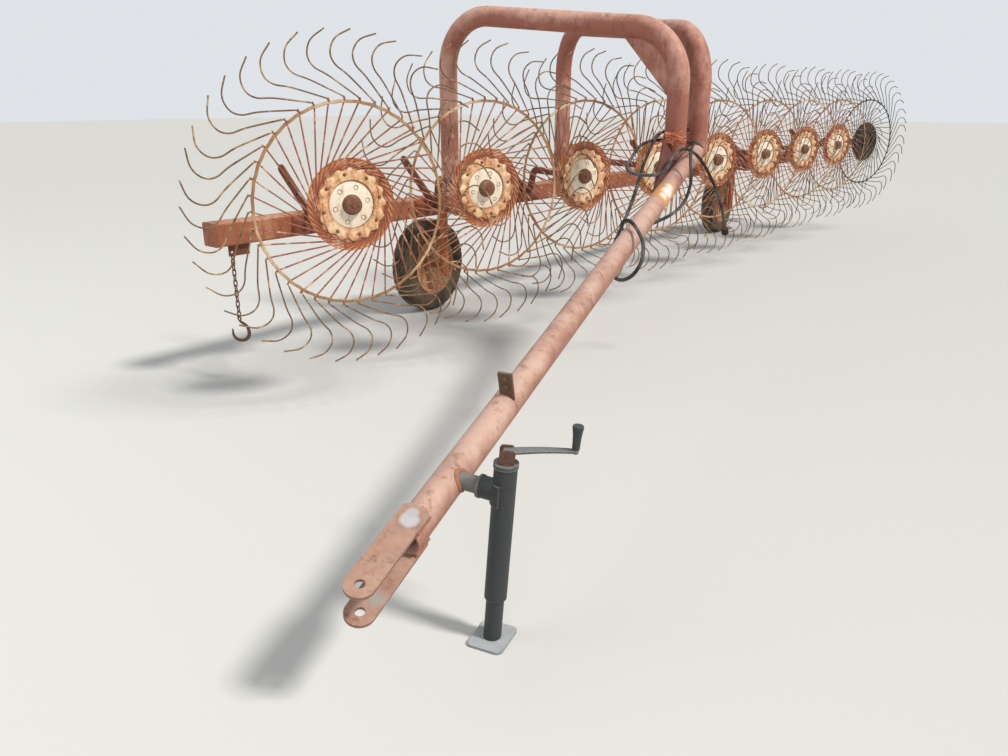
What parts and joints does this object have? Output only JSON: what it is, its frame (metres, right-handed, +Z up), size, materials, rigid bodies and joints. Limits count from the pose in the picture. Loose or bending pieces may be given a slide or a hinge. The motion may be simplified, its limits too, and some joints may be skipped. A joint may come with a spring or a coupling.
{
  "type": "trailed wheel rake",
  "caption": "Trailed hay rake: a line of free-turning tined wheels on a square beam, drawn by a round tongue with two pipe arches, on ground wheels and a screw jack",
  "frame": {"origin": "centre of the hitch pin's bore, midway between the two clevis ears", "axes": "+Z up, +Y along the beam from its front end to its rear end, +X from the beam to the tongue's side; the ground is at z = -0.365 m"},
  "size_m": [3.1639, 9.4413, 1.9815],
  "materials": {
    "bare_iron": "rusty bare iron",
    "beam_paint": "weathered orange paint",
    "dark_wheel": "dark worn paint",
    "foot_steel": "dull plated steel",
    "jack_paint": "satin charcoal paint",
    "tongue_paint": "faded rusty red paint",
    "tyre": "worn black rubber",
    "wheel_steel": "rusty cream and orange paint"
  },
  "bodies": {
    "frame": {"arch_far": "tongue_paint", "arch_far_pad": "tongue_paint", "arch_near": "tongue_paint", "arch_near_pad": "tongue_paint", "beam_cap_front": "beam_paint", "beam_cap_rear": "beam_paint", "chain_tab": "bare_iron", "clevis_ear_lower": "tongue_paint", "clevis_ear_upper": "tongue_paint", "foot_web": "tongue_paint", "hook": "bare_iron", "hook_chain": "bare_iron", "hose_bracket": "tongue_paint", "jack_stub": "tongue_paint", "main_beam": "beam_paint", "pivot_brackets": "beam_paint", "rake_arm_1": "beam_paint", "rake_arm_2": "beam_paint", "rake_arm_3": "beam_paint", "rake_arm_4": "beam_paint", "rake_arm_5": "beam_paint", "rake_arm_6": "beam_paint", "rake_arm_7": "beam_paint", "rake_arm_8": "beam_paint", "rake_arm_9": "beam_paint", "tongue_pipe": "tongue_paint", "wheel_sleeve_front": "beam_paint", "wheel_sleeve_rear": "beam_paint"},
    "rake_wheel_1": {"rake_wheel_1": "wheel_steel"},
    "rake_wheel_2": {"rake_wheel_2": "wheel_steel"},
    "rake_wheel_3": {"rake_wheel_3": "wheel_steel"},
    "rake_wheel_4": {"rake_wheel_4": "wheel_steel"},
    "rake_wheel_5": {"rake_wheel_5": "wheel_steel"},
    "rake_wheel_6": {"rake_wheel_6": "wheel_steel"},
    "rake_wheel_7": {"rake_wheel_7": "wheel_steel"},
    "rake_wheel_8": {"rake_wheel_8": "wheel_steel"},
    "rake_wheel_9": {"rake_wheel_9": "dark_wheel"},
    "wheel_leg_front": {"wheel_leg_front": "beam_paint"},
    "ground_wheel_front": {"tyre_front": "tyre", "ground_rim_front": "beam_paint"},
    "wheel_leg_rear": {"wheel_leg_rear": "beam_paint"},
    "ground_wheel_rear": {"tyre_rear": "tyre", "ground_rim_rear": "beam_paint"},
    "jack": {"jack_tube": "jack_paint", "jack_cap": "jack_paint", "jack_crank": "jack_paint"},
    "jack_leg": {"jack_leg": "jack_paint", "jack_foot": "foot_steel"}
  },
  "joints": [
    {"name": "rake_wheel_1_spin", "type": "hinge", "parent": "frame", "child": "rake_wheel_1", "pos_m": [-1.604, 1.361, 0.64], "axis": [0.9455, -0.3256, 0], "continuous": true},
    {"name": "rake_wheel_2_spin", "type": "hinge", "parent": "frame", "child": "rake_wheel_2", "pos_m": [-1.604, 2.278, 0.64], "axis": [0.9455, -0.3256, 0], "continuous": true},
    {"name": "rake_wheel_3_spin", "type": "hinge", "parent": "frame", "child": "rake_wheel_3", "pos_m": [-1.604, 3.195, 0.64], "axis": [0.9455, -0.3256, 0], "continuous": true},
    {"name": "rake_wheel_4_spin", "type": "hinge", "parent": "frame", "child": "rake_wheel_4", "pos_m": [-1.604, 4.112, 0.64], "axis": [0.9455, -0.3256, 0], "continuous": true},
    {"name": "rake_wheel_5_spin", "type": "hinge", "parent": "frame", "child": "rake_wheel_5", "pos_m": [-1.604, 5.029, 0.64], "axis": [0.9455, -0.3256, 0], "continuous": true},
    {"name": "rake_wheel_6_spin", "type": "hinge", "parent": "frame", "child": "rake_wheel_6", "pos_m": [-1.604, 5.946, 0.64], "axis": [0.9455, -0.3256, 0], "continuous": true},
    {"name": "rake_wheel_7_spin", "type": "hinge", "parent": "frame", "child": "rake_wheel_7", "pos_m": [-1.604, 6.863, 0.64], "axis": [0.9455, -0.3256, 0], "continuous": true},
    {"name": "rake_wheel_8_spin", "type": "hinge", "parent": "frame", "child": "rake_wheel_8", "pos_m": [-1.604, 7.78, 0.64], "axis": [0.9455, -0.3256, 0], "continuous": true},
    {"name": "rake_wheel_9_spin", "type": "hinge", "parent": "frame", "child": "rake_wheel_9", "pos_m": [-1.604, 8.697, 0.64], "axis": [0.9455, -0.3256, 0], "continuous": true},
    {"name": "wheel_front_steer", "type": "hinge", "parent": "frame", "child": "wheel_leg_front", "pos_m": [-2.6905, 3.061, 0.443], "axis": [0, 0, 1], "range_deg": [-10, 60]},
    {"name": "ground_wheel_front_spin", "type": "hinge", "parent": "wheel_leg_front", "child": "ground_wheel_front", "pos_m": [-2.83819, 3.04548, -0.04], "axis": [0.9945, 0.1045, 0], "continuous": true},
    {"name": "wheel_rear_steer", "type": "hinge", "parent": "frame", "child": "wheel_leg_rear", "pos_m": [-2.6905, 7.731, 0.443], "axis": [0, 0, 1], "range_deg": [-10, 60]},
    {"name": "ground_wheel_rear_spin", "type": "hinge", "parent": "wheel_leg_rear", "child": "ground_wheel_rear", "pos_m": [-2.83819, 7.71548, -0.04], "axis": [0.9945, 0.1045, 0], "continuous": true},
    {"name": "jack_swivel", "type": "hinge", "parent": "frame", "child": "jack", "pos_m": [0.04799, 0.45936, 0.10666], "axis": [-0.9625, -0.2597, 0.0785], "range_deg": [0, 104]},
    {"name": "jack_extend", "type": "slide", "parent": "jack", "child": "jack_leg", "axis": [0.0758, 0.0204, 0.9969], "range_m": [-0.09, 0.12]}
  ]
}
